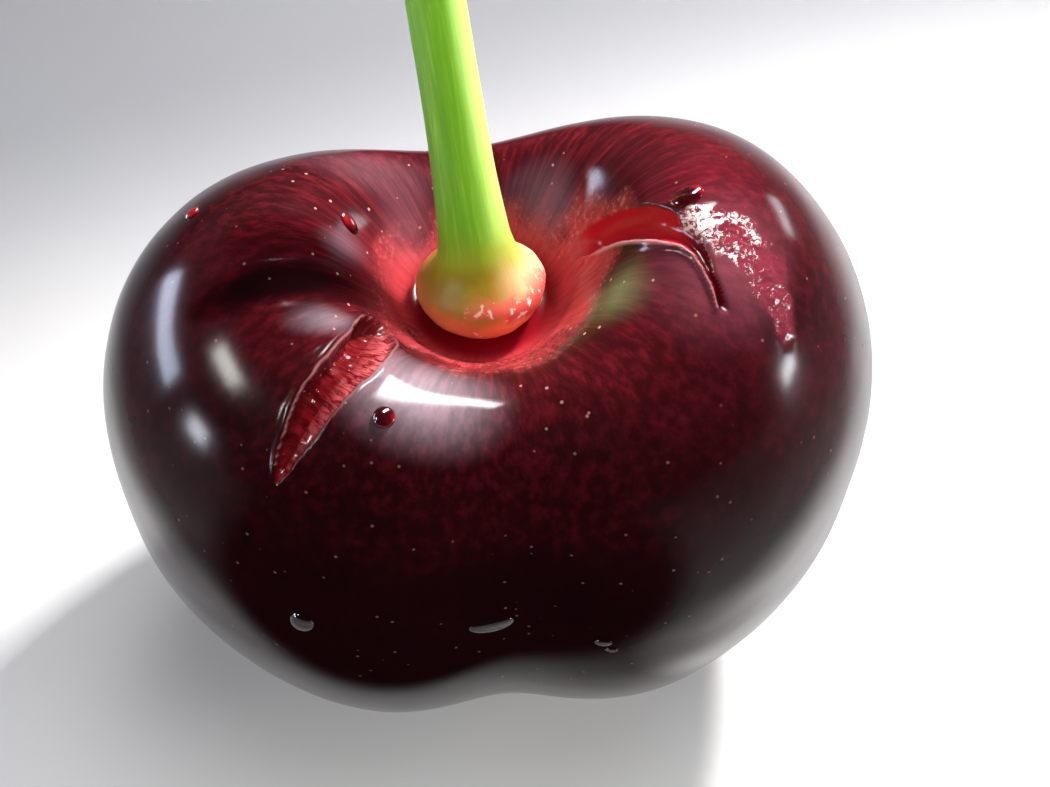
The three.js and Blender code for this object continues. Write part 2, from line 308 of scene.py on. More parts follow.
def move_onto_form(mesh):
    """Moves a globe's corners onto the cherry and writes where flesh, tears and lips show."""
    globe = np.empty(len(mesh.vertices) * 3)
    mesh.vertices.foreach_get("co", globe)
    globe = globe.reshape(-1, 3)
    row = np.rint(np.arccos(np.clip(globe[:, 2], -1, 1)) / math.pi * FRUIT_ROWS).astype(int)
    column = np.rint(np.arctan2(globe[:, 1], globe[:, 0]) / (2 * math.pi) * FRUIT_COLUMNS).astype(int)
    fall = spread_angles(FRUIT_ROWS, POLE_GAP, math.pi - POLE_GAP, row_weight)[row]
    longitude = spread_angles(FRUIT_COLUMNS, 0, 2 * math.pi, column_weight)[column % FRUIT_COLUMNS]
    points = skin_points(fall, longitude)
    safe_fall = np.clip(fall, POLE_GAP_FOR_NORMALS, math.pi - POLE_GAP_FOR_NORMALS)
    normals = skin_normals(safe_fall, longitude)
    flesh, valley, torn, lip = (np.zeros(len(points)) for _ in range(4))
    grain = np.zeros((len(points), 3))
    depth = DRAWN_IN - UNEVENNESS * rough(points, UNEVEN_SCALE, 2)
    depth = depth * smoothstep(np.hypot(points[:, 0], points[:, 1]), *UNEVEN_FADE_IN)
    from_pad = (points[:, :2] - CREST_PAD) / CREST_PAD_SPREAD
    pad = CREST_PAD_HEIGHT * np.exp(-(from_pad ** 2).sum(axis=1))
    depth -= pad * (points[:, 2] > CREST_PAD_ABOVE)
    top = points[:, 2] > CRACKS_ABOVE
    front_depth, flesh[top], front_lip, front_way = front_crack_relief(points[top], normals[top])
    rim_depth, valley[top], rim_lip = rim_crack_relief(points[top], normals[top])
    torn_depth, torn[top], torn_way = torn_relief(points[top], normals[top])
    depth[top] += front_depth + rim_depth + torn_depth
    lip[top] = np.maximum(front_lip, rim_lip)
    grain[top] = np.where((points[top, 0] < 0)[:, None], front_way, torn_way)
    points = points - normals * depth[:, None]
    points[:, 2] = np.maximum(points[:, 2], LOWEST)
    mesh.vertices.foreach_set("co", (points * MM).ravel())
    for name, values in (("flesh", flesh), ("valley", valley), ("torn", torn), ("lip", lip)):
        layer = mesh.attributes.new(name, "FLOAT", "POINT")
        layer.data.foreach_set("value", values.astype(np.float32))
    paint_directions(mesh, "grain", grain)


def paint_directions(mesh, name, vectors):
    layer = mesh.attributes.new(name, "FLOAT_VECTOR", "POINT")
    layer.data.foreach_set("vector", vectors.astype(np.float32).ravel())


def link_object(name, mesh):
    piece = bpy.data.objects.new(name, mesh)
    bpy.context.scene.collection.objects.link(piece)
    mesh.polygons.foreach_set("use_smooth", [True] * len(mesh.polygons))
    return piece


def mesh_from(bm, name):
    mesh = bpy.data.meshes.new(name)
    bm.to_mesh(mesh)
    bm.free()
    return mesh


def colour(red, green, blue):
    """A colour as seen on screen, 0 to 255, turned into the light that a shader works with."""
    shares = [c / 255 for c in (red, green, blue)]
    return (*[c / 12.92 if c <= 0.04045 else ((c + 0.055) / 1.055) ** 2.4 for c in shares], 1)


def finish_nodes(name):
    """A new material and its shader node."""
    material = bpy.data.materials.new(name)
    material.use_nodes = True
    return material, material.node_tree.nodes["Principled BSDF"]


def add(tree, kind, links=(), **values):
    """Adds a node, sets its sockets and options by name, and links (socket, source) pairs."""
    new = tree.nodes.new("ShaderNode" + kind)
    for name, value in values.items():
        socket = next((s for s in new.inputs if s.name.lower() == name), None)
        if socket:
            socket.default_value = value
        else:
            setattr(new, name, value)
    for socket, source in links:
        tree.links.new(source, new.inputs[socket])
    return new


def feed(tree, new, values):
    """Gives a node's numbered sockets their values, each a fixed one or an output socket."""
    for socket, source in values:
        if isinstance(source, bpy.types.NodeSocket):
            tree.links.new(source, new.inputs[socket])
        else:
            new.inputs[socket].default_value = source


def mix_colours(tree, share, first, second):
    new = add(tree, "Mix", data_type="RGBA")
    feed(tree, new, ((0, share), (6, first), (7, second)))
    return new.outputs[2]


def combine(tree, first, second, operation="MULTIPLY"):
    new = add(tree, "Math", operation=operation)
    feed(tree, new, ((0, first), (1, second)))
    return new.outputs[0]


def stretch(tree, source, low, high, to_low=0.0, to_high=1.0):
    """Maps low..high to a new range, clamped and eased at both ends."""
    new = add(tree, "MapRange", interpolation_type="SMOOTHSTEP")
    feed(tree, new, enumerate((source, low, high, to_low, to_high)))
    return new.outputs[0]


def clouds(tree, place, scale, detail, roughness=0.5, distortion=0.0):
    """Fractal noise from 0 to 1, with this many finer layers."""
    new = add(tree, "TexNoise", [("Vector", place)], scale=scale, detail=detail, roughness=roughness,
              distortion=distortion)
    return new.outputs[0]


def patch_share(tree, place, centre, radii, turn, core):
    """1 in the core of an ellipsoid patch and 0 beyond its edge; centre and radii in millimetres."""
    inward = add(tree, "Mapping", [(0, place)], vector_type="TEXTURE", location=[c * MM for c in centre],
                 rotation=(0, 0, math.radians(turn)), scale=[r * MM for r in radii]).outputs[0]
    away = add(tree, "VectorMath", [(0, inward)], operation="LENGTH").outputs["Value"]
    return stretch(tree, away, core, 1, 1, 0)


# The skin is dull in a band across the left shoulder, the first of these spots, where the stem's
# dark reflection is painted into the colour as well, and dull on parts of the crown and all over the
# front: centre, radii and turn in degrees.
DULL_SPOTS = (
    ((-6.2, -2.2, 23), (3.5, 0.95, 3), 12),
    ((-5.6, -3.8, 23), (1.7, 0.95, 2), 12),
    ((2.4, 2.9, 21), (1.8, 1.6, 2), 0),
    ((-1.2, -10, 17), (9.2, 6, 7.7), 0),
    ((-6.2, -0.5, 23.4), (2.2, 1.2, 2), 10),
    ((-2.9, 4.0, 21.2), (2.2, 1.3, 2), 0),
    ((7.1, 0.1, 25), (1.8, 1.4, 2), 0),
)
DULL_CORE, STEM_REFLECTION_CORE = 0.7, 0.35
# Painted sheen and reflections grey or tint the skin in soft patches, and one darkens it as painted
# shade: centre, radii, turn, colour, strength.
PAINTED_SHEEN_SPOTS = (
    ((-1.9, -5.6, 22.2), (3.4, 2.3, 2.2), -18, (172, 152, 164), 0.75),
    ((-4.7, -3.35, 22.9), (1.6, 0.7, 1.4), 10, (150, 134, 146), 0.55),
    ((-4.3, 0.1, 22), (1.5, 0.9, 1.5), 20, (150, 120, 136), 0.5),
    ((-2.5, 2.3, 20.2), (1.7, 2.1, 1.9), 0, (150, 92, 106), 0.45),
    ((2.1, 2.9, 20.8), (2.1, 1.9, 2), 0, (148, 112, 142), 0.6),
    ((-3.4, 3.7, 21.5), (3.6, 1.5, 2.2), 0, (134, 88, 100), 0.5),
    ((6.9, 0.9, 24.9), (3.6, 2.6, 2.4), 0, (132, 40, 56), 0.16),
    # the stem's green reflection, painted
    ((4.1, -2.5, 23.2), (1.9, 1.5, 1.6), -25, (122, 118, 84), 0.9),
    ((7.2, -2.4, 24.4), (3.4, 3.4, 2.8), 0, (158, 84, 100), 0.45),
    # painted shade on the cavity's left wall
    ((-3.1, -0.2, 20.8), (2.2, 2.8, 2.4), 0, (138, 44, 52), 0.75),
)
# Streaks run from the cavity down over the cheeks, so many to a radian and to a metre outward.
STREAKS_AROUND, STREAKS_OUTWARD = 26, 1500
# The other patterns are given by how many of their features go to a metre.
SKIN_CLOUDS, RING_WOBBLES, FINE_GRAIN, TORN_CLUMPS, SPECK_CELLS = 230, 420, 4600, 900, 2500
SKIN_DARK, SKIN_MID, SKIN_BRIGHT = colour(20, 5, 7), colour(68, 13, 20), colour(134, 30, 42)
SPECK = colour(214, 168, 150)


def skin_map(tree):
    """The places and patterns that the skin's finishes share, as output sockets."""
    at = SimpleNamespace()
    at.place = add(tree, "TexCoord").outputs["Object"]
    at.x, at.y, at.z = add(tree, "SeparateXYZ", [(0, at.place)]).outputs
    plan = add(tree, "CombineXYZ", [(0, at.x), (1, at.y)]).outputs[0]
    at.radius = add(tree, "VectorMath", [(0, plan)], operation="LENGTH").outputs["Value"]
    around = add(tree, "VectorMath", [(0, plan)], operation="NORMALIZE").outputs[0]
    spokes = add(tree, "Mapping", [(0, around)], scale=(STREAKS_AROUND, STREAKS_AROUND, 1)).outputs[0]
    outward = combine(tree, combine(tree, at.radius, at.z, "SUBTRACT"), STREAKS_OUTWARD)
    down = add(tree, "CombineXYZ", [(2, outward)]).outputs[0]
    drawn_out = add(tree, "VectorMath", [(0, spokes), (1, down)], operation="ADD").outputs[0]
    at.streaks = clouds(tree, drawn_out, 1, 5, 0.62)
    at.fine = clouds(tree, at.place, FINE_GRAIN, 3, 0.65)
    wobble = combine(tree, clouds(tree, at.place, RING_WOBBLES, 4), 0.5, "SUBTRACT")
    at.reach = combine(tree, at.radius, combine(tree, wobble, 4 * MM), "ADD")
    at.on_top = stretch(tree, at.z, 17.5 * MM, 19.5 * MM)
    for name in ("flesh", "valley", "torn", "lip"):
        setattr(at, name, add(tree, "Attribute", attribute_name=name).outputs["Fac"])
    grain = add(tree, "Attribute", attribute_name="grain").outputs["Vector"]
    combed = add(tree, "Mapping", [(0, grain)], scale=(7.5, 2.0, 0)).outputs[0]
    at.fibre = clouds(tree, combed, 1, 4, 0.65, 0.6)
    at.travel, _, at.share = add(tree, "SeparateXYZ", [(0, grain)]).outputs
    return at


def dark_skin(tree, at):
    """Nearly black skin with a dark red mottle, redder in streaks towards the cavity, and darker with
    painted shade towards the front and the bottom.
    """
    cloud = clouds(tree, at.place, SKIN_CLOUDS, 3, 0.55)
    mottle = combine(tree, stretch(tree, cloud, 0.3, 0.7, 0.3, 1),
                     stretch(tree, at.streaks, 0.2, 0.8, 0.42, 1))
    # Painted shade: the mottle fades towards the front and the bottom, the sides that face away from the
    # light.
    painted_sunlit = combine(tree, stretch(tree, at.y, -9.5 * MM, -4 * MM, 0.12, 1),
                    stretch(tree, at.z, 4 * MM, 20 * MM, 0.5, 1))
    base = mix_colours(tree, combine(tree, mottle, painted_sunlit), SKIN_DARK, SKIN_MID)
    crown = combine(tree, stretch(tree, at.reach, 4 * MM, 11.5 * MM, 0.8, 0.08), at.on_top)
    bright = combine(tree, crown, stretch(tree, at.streaks, 0.4, 0.85, 0.1, 0.8))
    return mix_colours(tree, bright, base, SKIN_BRIGHT)


BLUSH, BLUSH_DEEP_AND_SHADE, BLUSH_PALE = colour(198, 72, 76), colour(132, 14, 26), colour(236, 140, 136)


def cavity_ring(tree, at, base):
    """The red ring where the skin meets the stem, deep red inside from painted shade round the stem's foot,
    and pale and grainy at its edge.
    """
    lopsided = combine(tree, at.reach, combine(tree, at.y, 0.12), "ADD")
    lopsided = combine(tree, lopsided, combine(tree, at.x, 0.1), "SUBTRACT")
    ring = combine(tree, stretch(tree, lopsided, 2.6 * MM, 4.2 * MM, 1, 0), at.on_top)
    blush = mix_colours(tree, stretch(tree, at.streaks, 0.3, 0.65, 0.45, 0), BLUSH, BLUSH_DEEP_AND_SHADE)
    grainy = combine(tree, stretch(tree, at.fine, 0.52, 0.66), stretch(tree, lopsided, 2.6 * MM, 3.8 * MM))
    blush = mix_colours(tree, grainy, blush, BLUSH_PALE)
    # Painted shade: the ring turns deep red close round the stem's foot.
    blush = mix_colours(tree, stretch(tree, at.radius, 2.1 * MM, 2.9 * MM, 1, 0), blush, BLUSH_DEEP_AND_SHADE)
    return mix_colours(tree, ring, base, blush)


def with_painted_sheen(tree, at, base):
    # Painted sheen, reflections and shade, laid on in streaky patches.
    patchy = stretch(tree, at.streaks, 0.25, 0.7, 0.7, 1)
    for centre, radii, turn, tint, strength in PAINTED_SHEEN_SPOTS:
        sheen_share = combine(tree, patch_share(tree, at.place, centre, radii, turn, 0), patchy)
        base = mix_colours(tree, combine(tree, sheen_share, strength), base, colour(*tint))
    # Painted reflection of the dark stem: a nearly black band across the left shoulder.
    painted_stem_reflection = patch_share(tree, at.place, *DULL_SPOTS[0], STEM_REFLECTION_CORE)
    return mix_colours(tree, combine(tree, painted_stem_reflection, 0.97), base, SKIN_DARK)


FLESH_DEEP, FLESH_PALE = colour(100, 8, 16), colour(206, 98, 102)
VALLEY_RED, VALLEY_DARK, LIP_PALE_AND_SHEEN = colour(174, 20, 34), colour(92, 6, 14), colour(206, 140, 142)
TORN_RED, TORN_PALE_AND_GLINT = colour(124, 40, 56), colour(236, 212, 210)


def wounds(tree, at, base):
    """Bare flesh with cross fibres and painted glints in front, the red valley and its lip, partly painted
    sheen, and pale wrinkles with painted glints on the tear.
    """
    bevel = combine(tree, stretch(tree, at.share, -0.25, 0.9, 0.1, 1),
                    stretch(tree, at.travel, 1.5, 5, 1, 0.4))
    pale = combine(tree, bevel, stretch(tree, at.fibre, 0.38, 0.62))
    base = mix_colours(tree, at.flesh, base, mix_colours(tree, pale, FLESH_DEEP, FLESH_PALE))
    # Painted glints: white specks on the wet flesh stand in for highlights.
    glints = combine(tree, at.flesh, stretch(tree, at.fine, 0.68, 0.74))
    base = mix_colours(tree, glints, base, TORN_PALE_AND_GLINT)
    groove = mix_colours(tree, stretch(tree, at.x, 5.8 * MM, 6.6 * MM), VALLEY_RED, VALLEY_DARK)
    base = mix_colours(tree, stretch(tree, at.valley, 0.2, 0.9), base, groove)
    # The lips' pale colour is partly the torn skin's own and partly a painted sheen.
    base = mix_colours(tree, combine(tree, stretch(tree, at.lip, 0.3, 0.9), 0.6), base, LIP_PALE_AND_SHEEN)
    base = mix_colours(tree, combine(tree, at.torn, 0.8), base, TORN_RED)
    glitter = clouds(tree, at.place, FINE_GRAIN, 4, 0.7, 1.2)
    clumps = stretch(tree, clouds(tree, at.place, TORN_CLUMPS, 2), 0.35, 0.62, -0.06, 0.04)
    glitter = combine(tree, glitter, clumps, "ADD")
    glitter = combine(tree, glitter, stretch(tree, at.travel, 1.4, 4.4, 0.0, -0.11), "ADD")
    # Painted glints on the tear, partly the torn skin's own pale wrinkles.
    pale_wrinkles_and_glints = combine(tree, stretch(tree, at.torn, 0.2, 0.7), stretch(tree, glitter, 0.485, 0.59))
    return mix_colours(tree, pale_wrinkles_and_glints, base, TORN_PALE_AND_GLINT)


def speckled(tree, at, base):
    """A few pale breathing pores, each a dot in one of a fifth of the cells, sparser further out."""
    cells = add(tree, "TexVoronoi", [("Vector", at.place)], scale=SPECK_CELLS, randomness=1.0)
    chosen = add(tree, "SeparateColor", [(0, cells.outputs["Color"])]).outputs[0]
    dot = combine(tree, stretch(tree, cells.outputs["Distance"], 0.08, 0.17, 1, 0),
                  stretch(tree, chosen, 0.8, 0.82))
    outside = combine(tree, stretch(tree, at.reach, 2.8 * MM, 4 * MM),
                      stretch(tree, at.reach, 4.5 * MM, 8.5 * MM, 1, 0.25))
    return mix_colours(tree, combine(tree, combine(tree, dot, outside), 0.8), base, SPECK)


def gloss_share(tree, at, wet):
    """How much the skin mirrors: most where it turns away, half on wet flesh, none on dull spots."""
    dull = 0
    for centre, radii, turn in DULL_SPOTS:
        dull = combine(tree, dull, patch_share(tree, at.place, centre, radii, turn, DULL_CORE), "MAXIMUM")
    facing = add(tree, "LayerWeight").outputs["Facing"]
    polish = combine(tree, stretch(tree, facing, 0.56, 0.83, 0.22, 1), stretch(tree, dull, 0, 1, 1, 0))
    return combine(tree, polish, combine(tree, wet, 0.5), "MAXIMUM")


def skin_finish():
    material, shader = finish_nodes("cherry_skin")
    tree = material.node_tree
    at = skin_map(tree)
    base = with_painted_sheen(tree, at, cavity_ring(tree, at, dark_skin(tree, at)))
    base = speckled(tree, at, wounds(tree, at, base))
    wet = combine(tree, at.torn, at.flesh, "MAXIMUM")
    relief = mix_colours(tree, wet, at.streaks, at.fibre)
    height = combine(tree, relief, stretch(tree, wet, 0, 1, 0.06, 1.0))
    bumped = add(tree, "Bump", [("Height", height)], strength=0.5, distance=0.12 * MM)
    tree.links.new(base, shader.inputs["Base Color"])
    tree.links.new(bumped.outputs[0], shader.inputs["Normal"])
    tree.links.new(stretch(tree, at.streaks, 0.35, 0.75, 0.3, 0.44), shader.inputs["Roughness"])
    tree.links.new(gloss_share(tree, at, wet), shader.inputs["Coat Weight"])
    shader.inputs["Specular IOR Level"].default_value = 0
    shader.inputs["Coat Roughness"].default_value = 0.16
    shader.inputs["Coat IOR"].default_value = 1.5
    shader.inputs["Subsurface Weight"].default_value = 0.12
    shader.inputs["Subsurface Radius"].default_value = (1.0, 0.2, 0.12)
    shader.inputs["Subsurface Scale"].default_value = 0.8 * MM
    return material


def make_fruit():
    bm = bmesh.new()
    bmesh.ops.create_uvsphere(bm, u_segments=FRUIT_COLUMNS, v_segments=FRUIT_ROWS, radius=1)
    mesh = mesh_from(bm, "cherry_fruit")
    move_onto_form(mesh)
    mesh.materials.append(skin_finish())
    return link_object("cherry_fruit", mesh)


fruit = make_fruit()
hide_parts("fruit")
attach(fruit, "root")


# The stem: green and a little ribbed, with a thick round foot that sits on the cavity floor and a
# swollen, brown-scarred end where it left the twig. Its profile is spun round its own axis first
# and then bent along the centre line. Radii and heights are in millimetres from the foot.
STEM_LENGTH = 42
STEM_CLEARANCE = 0.1
STEM_FOOT_Z = REST_HEIGHT + FLOOR_LEVEL + STEM_CLEARANCE
STEM_PROFILE = ((1.5, 0), (1.92, 0.22), (2.15, 0.65), (2.09, 1.02), (1.7, 1.4), (1.4, 1.78), (1.2, 2.5),
                (1.12, 3.3), (1.04, 4.4), (0.98, 6.0), (0.93, 8.5), (0.89, 14), (0.87, 22), (0.86, 30),
                (0.9, 36), (1.0, 39.2), (1.24, 41.0), (1.28, 41.6), (1.05, 41.95))
STEM_END_HEIGHT = 41.8
STEM_SIDES, STEM_RINGS = 72, 260
STEM_LEAN = (math.radians(27), math.radians(9.6))
STEM_TIP_LEAN = (math.radians(17), math.radians(7))
STEM_UPRIGHT = 1.1
STEM_SIZE = 0.985
RIB_HEIGHT, RIBS, RIBS_FADE_IN = 0.035, 3, (3, 8)
FIBRE_HEIGHT, FIBRE_SCALE, FIBRE_DRAW, FIBRES_FADE_IN = 0.012, 5, 0.12, (1.6, 4)
PEBBLE_HEIGHT, PEBBLE_SCALE, PEBBLES_FADE_OUT = 0.02, 1.7, (1.2, 2.5)
STEM_MERGE = 1e-4


def stem_centre_line():
    def leaning(back, left):
        return Vector((-math.tan(left), math.tan(back), 1)).normalized()

    def bend(start, corner, end, samples=200):
        t = np.linspace(0, 1, samples)[:, None]
        start, corner, end = (np.array(p) for p in (start, corner, end))
        return (1 - t) ** 2 * start + 2 * t * (1 - t) * corner + t ** 2 * end

    foot = Vector((0, 0, STEM_FOOT_Z))
    turn = foot + Vector((0, 0, STEM_UPRIGHT))
    lean = leaning(*STEM_LEAN)
    neck = turn + STEM_UPRIGHT * lean
    half = STEM_LENGTH / 2 - STEM_UPRIGHT
    middle = neck + half * lean
    tip = middle + half * leaning(*STEM_TIP_LEAN)
    return np.vstack([bend(foot, turn, neck), bend(neck, middle, tip)[1:]])


def bend_stem(mesh):
    """Puts the upright stem on its bent centre line, with ribs, fibres and a pebbled foot."""
    line = stem_centre_line()
    travelled = travel_along(line)
    upright = np.empty(len(mesh.vertices) * 3)
    mesh.vertices.foreach_get("co", upright)
    x, y, height = upright.reshape(-1, 3).T
    reach = height / STEM_LENGTH * travelled[-1]
    centre = at_travel(reach, travelled, line)
    tangent = at_travel(reach, travelled, np.gradient(line, travelled, axis=0))
    tangent /= np.linalg.norm(tangent, axis=1, keepdims=True)
    right = np.cross([0, 1, 0], tangent)
    right /= np.linalg.norm(right, axis=1, keepdims=True)
    back = np.cross(tangent, right)
    angle = np.arctan2(y, x)
    ribs = RIB_HEIGHT * smoothstep(height, *RIBS_FADE_IN) * np.cos(RIBS * (angle + math.pi / 2))
    around = np.stack([np.cos(angle), np.sin(angle), height * FIBRE_DRAW], -1)
    fibres = FIBRE_HEIGHT * rough(around, FIBRE_SCALE, 2) * smoothstep(height, *FIBRES_FADE_IN)
    pebbles = PEBBLE_HEIGHT * rough(np.stack([x, y, height], -1), PEBBLE_SCALE)
    pebbles = pebbles * (1 - smoothstep(height, *PEBBLES_FADE_OUT))
    swell = (STEM_SIZE + ribs + fibres + pebbles)[:, None]
    points = centre + swell * (x[:, None] * right + y[:, None] * back)
    mesh.vertices.foreach_set("co", (points * MM).ravel())
    paint_directions(mesh, "rind", np.stack([np.cos(angle), np.sin(angle), height], -1))


STEM_GREEN, STEM_SHADE, STEM_PALE_AND_SUNLIT = colour(140, 202, 50), colour(122, 186, 46), colour(208, 240, 130)
FOOT_YELLOW, FOOT_OCHRE, FOOT_SUNLIT_CREAM = colour(160, 156, 36), colour(146, 98, 20), colour(250, 206, 160)
FOOT_ORANGE, FOOT_RED, FOOT_GLINT = colour(252, 150, 104), colour(226, 92, 84), colour(252, 226, 214)
SCAR_BROWN = colour(84, 60, 38)
FOOT_PATCHES, FOOT_BLOTCHES, FOOT_GLINT_SCALE = 520, 900, 4200


def stem_foot_colour(tree, place, side, height, level):
    """Orange below and ochre to yellow above, with red blotches, a cream tint of painted light and spots of
    painted glints on its sunny side.
    """
    foot = mix_colours(tree, stretch(tree, level, 0.1, 1.5), FOOT_ORANGE, FOOT_OCHRE)
    foot = mix_colours(tree, stretch(tree, level, 0.9, 2.2), foot, FOOT_YELLOW)
    # Painted light: the sunny right side is tinted cream.
    painted_sunlit = combine(tree, stretch(tree, side, 0.2, 0.95), stretch(tree, level, 1.4, 2.4, 1, 0))
    foot = mix_colours(tree, combine(tree, painted_sunlit, 0.6), foot, FOOT_SUNLIT_CREAM)
    blotch = stretch(tree, clouds(tree, place, FOOT_BLOTCHES, 3), 0.47, 0.56)
    reddish = combine(tree, blotch, stretch(tree, height, 0.9, 1.6, 1, 0))
    reddish = combine(tree, reddish, stretch(tree, side, -0.5, 0.3))
    foot = mix_colours(tree, reddish, foot, FOOT_RED)
    # Painted glints: pearly white specks within the red blotches.
    foot_glints = stretch(tree, clouds(tree, place, FOOT_GLINT_SCALE, 3), 0.56, 0.66)
    return mix_colours(tree, combine(tree, reddish, foot_glints), foot, FOOT_GLINT)


def stem_finish():
    material, shader = finish_nodes("cherry_stem")
    tree = material.node_tree
    place = add(tree, "TexCoord").outputs["Object"]
    rind = add(tree, "Attribute", attribute_name="rind").outputs["Vector"]
    side, _, height = add(tree, "SeparateXYZ", [(0, rind)]).outputs
    drawn_out = add(tree, "Mapping", [(0, rind)], scale=(1.0, 1.0, 0.06)).outputs[0]
    fibre = clouds(tree, drawn_out, 6, 5, 0.65)
    patchy = clouds(tree, place, FOOT_PATCHES, 3)
    green = mix_colours(tree, stretch(tree, fibre, 0.3, 0.7), STEM_SHADE, STEM_GREEN)
    # Pale fibres, and the right side made lighter with painted light from the right.
    bright = combine(tree, stretch(tree, fibre, 0.54, 0.8, 0, 0.4),
                     stretch(tree, side, 0.25, 0.95, 0, 0.75), "MAXIMUM")
    green = mix_colours(tree, bright, green, STEM_PALE_AND_SUNLIT)
    wobble = combine(tree, combine(tree, patchy, 0.5, "SUBTRACT"), 1.4)
    level = combine(tree, height, wobble, "ADD")
    foot = stem_foot_colour(tree, place, side, height, level)
    body = mix_colours(tree, stretch(tree, level, 1.5, 3.4), foot, green)
    base = mix_colours(tree, stretch(tree, level, 40.6, 41.5), body, SCAR_BROWN)
    bumped = add(tree, "Bump", [("Height", fibre)], strength=0.2, distance=0.05 * MM)
    tree.links.new(base, shader.inputs["Base Color"])
    tree.links.new(bumped.outputs[0], shader.inputs["Normal"])
    tree.links.new(stretch(tree, patchy, 0.3, 0.7, 0.38, 0.55), shader.inputs["Roughness"])
    shader.inputs["Specular IOR Level"].default_value = 0.2
    shader.inputs["Subsurface Weight"].default_value = 0.45
    shader.inputs["Subsurface Radius"].default_value = (1.0, 0.9, 0.4)
    shader.inputs["Subsurface Scale"].default_value = 1.0 * MM
    return material


def make_stem():
    bm = bmesh.new()
    profile = smooth_line([(r, 0, h) for r, h in STEM_PROFILE], STEM_RINGS)
    outline = [bm.verts.new(p) for p in ((0, 0, 0), *profile, (0, 0, STEM_END_HEIGHT))]
    edges = [bm.edges.new(pair) for pair in zip(outline, outline[1:])]
    bmesh.ops.spin(bm, geom=outline + edges, cent=(0, 0, 0), axis=(0, 0, 1), dvec=(0, 0, 0),
                   angle=2 * math.pi, steps=STEM_SIDES, use_merge=True, use_duplicate=False)
    bmesh.ops.remove_doubles(bm, verts=bm.verts, dist=STEM_MERGE)
    bmesh.ops.recalc_face_normals(bm, faces=bm.faces)
    mesh = mesh_from(bm, "cherry_stem")
    bend_stem(mesh)
    mesh.materials.append(stem_finish())
    return link_object("cherry_stem", mesh)


stem = make_stem()
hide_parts("stem")
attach(stem, "root")


# Juice beads: small domed drops of dark juice that sit on the skin where they seeped or splashed.
# Each is a ball flattened against the skin, given by its place, its half length and half width in
# millimetres, and its turn in degrees. Places on the flank count from the fruit's widest level.
CROWN_BEADS = (
    ((-2.84, -6.51), 0.34, 0.34, 0),
    ((-4.22, 1.15), 0.42, 0.26, -35),
    ((-9.31, 1.49), 0.3, 0.22, 20),
    ((6.16, -0.21), 0.55, 0.36, 15),
)
FLANK_BEADS = (
    ((-5.77, -9.83, 3.22), 0.5, 0.42, 60),
    ((0.32, -9.35, 1.99), 0.8, 0.42, 10),
    ((4.0, -9.9, 1.0), 0.3, 0.2, 0),
    ((4.4, -9.7, 0.4), 0.22, 0.14, 0),
)
CROWN_ABOVE = 15
BEAD_RISE = 0.55
BEAD_SEGMENTS, BEAD_RINGS = 32, 20
BEAD_CLOUDS = 1600
BEAD_DARK, BEAD_RED, BEAD_LOW = colour(52, 4, 10), colour(150, 16, 28), colour(24, 3, 7)


def bead_finish():
    material, shader = finish_nodes("juice_bead")
    tree = material.node_tree
    place = add(tree, "TexCoord").outputs["Object"]
    level = add(tree, "SeparateXYZ", [(0, place)]).outputs[2]
    cloudy = stretch(tree, clouds(tree, place, BEAD_CLOUDS, 2), 0.4, 0.7)
    tint = mix_colours(tree, cloudy, BEAD_DARK, BEAD_RED)
    tint = mix_colours(tree, stretch(tree, level, 16 * MM, 20 * MM), BEAD_LOW, tint)
    tree.links.new(tint, shader.inputs["Base Color"])
    shader.inputs["Roughness"].default_value = 0.08
    shader.inputs["Specular IOR Level"].default_value = 0.4
    return material


def crown_skin_at(x, y):
    upper = [v for v in fruit.data.vertices if v.co.z > CROWN_ABOVE * MM]
    return min(upper, key=lambda v: (v.co.xy - Vector((x, y)) * MM).length_squared)


def flank_skin_at(x, y, level):
    place = Vector((x, y, level + REST_HEIGHT)) * MM
    return min(fruit.data.vertices, key=lambda v: (v.co - place).length_squared)


def make_beads():
    bm = bmesh.new()
    spots = [(crown_skin_at(*place), *form) for place, *form in CROWN_BEADS]
    spots += [(flank_skin_at(*place), *form) for place, *form in FLANK_BEADS]
    for skin, long, wide, turn in spots:
        lean = Vector((0, 0, 1)).rotation_difference(skin.normal).to_matrix().to_4x4()
        size = Matrix.Diagonal((long * MM, wide * MM, min(long, wide) * BEAD_RISE * MM, 1))
        seat = Matrix.Translation(skin.co) @ lean @ Matrix.Rotation(math.radians(turn), 4, "Z") @ size
        bmesh.ops.create_uvsphere(bm, u_segments=BEAD_SEGMENTS, v_segments=BEAD_RINGS, radius=1, matrix=seat)
    mesh = mesh_from(bm, "juice_beads")
    mesh.materials.append(bead_finish())
    return link_object("juice_beads", mesh)


beads = make_beads()
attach(beads, "root")


# The table: a wide, pale, matt top for the cherry to stand on, one flat sheet that is greyer
# towards the back left, where less of the light reaches it. Its half size is in metres.
TABLE_HALF_SIZE = 3
TABLE_CLOUDS = 30
TABLE_COOL, TABLE_WARM, TABLE_FAR = colour(228, 228, 232), colour(236, 235, 233), colour(132, 132, 138)


def table_finish():
    material, shader = finish_nodes("table_white")
    tree = material.node_tree
    place = add(tree, "TexCoord").outputs["Object"]
    x, y, _ = add(tree, "SeparateXYZ", [(0, place)]).outputs
    cloudy = stretch(tree, clouds(tree, place, TABLE_CLOUDS, 3), 0.3, 0.7)
    tint = mix_colours(tree, cloudy, TABLE_COOL, TABLE_WARM)
    far_left = combine(tree, y, combine(tree, x, 0.35), "SUBTRACT")
    tint = mix_colours(tree, stretch(tree, far_left, 4 * MM, 34 * MM), tint, TABLE_FAR)
    tree.links.new(tint, shader.inputs["Base Color"])
    shader.inputs["Roughness"].default_value = 0.7
    shader.inputs["Specular IOR Level"].default_value = 0.2
    return material


